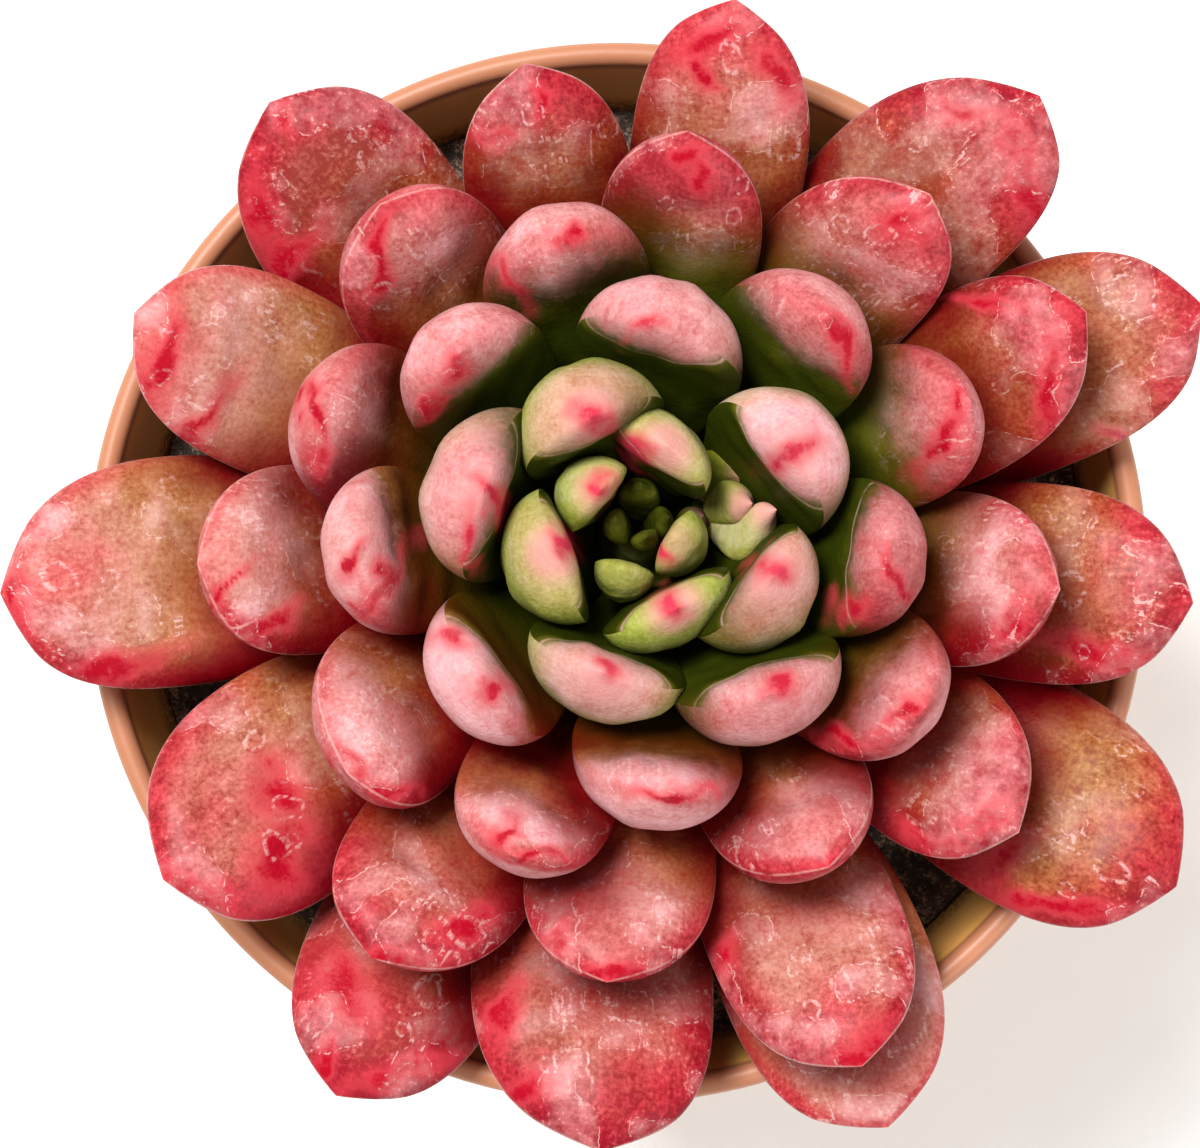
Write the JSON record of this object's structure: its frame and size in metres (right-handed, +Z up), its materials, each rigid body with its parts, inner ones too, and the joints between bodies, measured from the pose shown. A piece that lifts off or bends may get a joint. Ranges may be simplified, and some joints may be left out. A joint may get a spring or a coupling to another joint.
{
  "type": "potted succulent",
  "caption": "Rosette succulent with thick pointed leaves on a short stem, rooted in soil in a round tapered nursery pot.",
  "frame": {"origin": "middle of the pot's flat underside", "axes": "+Z up along the pot's axis; +Y towards the top edge of the view from above"},
  "size_m": [0.0979, 0.0928, 0.1016],
  "materials": {
    "pot": "satin moulded plastic, terracotta colour",
    "soil": "rough moist potting soil",
    "stem": "dull green-brown stem",
    "leaf_green": "satin waxy skin, lime green with a red tip",
    "leaf_rose": "satin waxy skin with a pale bloom, salmon pink"
  },
  "bodies": {
    "root": {"pot": "pot", "soil": "soil", "stem": "stem", "heart": "leaf_green", "side_bud": "leaf_green", "leaf_01": "leaf_green", "leaf_02": "leaf_green", "leaf_03": "leaf_green", "leaf_04": "leaf_green", "leaf_05": "leaf_green", "leaf_06": "leaf_green", "leaf_07": "leaf_rose", "leaf_08": "leaf_rose", "leaf_09": "leaf_rose", "leaf_10": "leaf_rose", "leaf_11": "leaf_rose", "leaf_12": "leaf_rose", "leaf_13": "leaf_rose", "leaf_14": "leaf_rose", "leaf_15": "leaf_rose", "leaf_16": "leaf_rose", "leaf_17": "leaf_rose", "leaf_18": "leaf_rose", "leaf_19": "leaf_rose", "leaf_20": "leaf_rose", "leaf_21": "leaf_rose", "leaf_22": "leaf_rose", "leaf_23": "leaf_rose", "leaf_24": "leaf_rose", "leaf_25": "leaf_rose", "leaf_26": "leaf_rose", "leaf_27": "leaf_rose", "leaf_28": "leaf_rose", "leaf_29": "leaf_rose", "leaf_30": "leaf_rose", "leaf_31": "leaf_rose", "leaf_32": "leaf_rose", "leaf_33": "leaf_rose", "leaf_34": "leaf_rose", "leaf_35": "leaf_rose", "leaf_36": "leaf_rose", "leaf_37": "leaf_rose", "leaf_38": "leaf_rose", "leaf_39": "leaf_rose", "leaf_40": "leaf_rose", "leaf_41": "leaf_rose", "leaf_42": "leaf_rose", "leaf_43": "leaf_rose", "leaf_44": "leaf_rose", "leaf_45": "leaf_rose", "leaf_46": "leaf_rose", "leaf_47": "leaf_rose", "leaf_48": "leaf_rose", "leaf_49": "leaf_rose"}
  },
  "joints": []
}
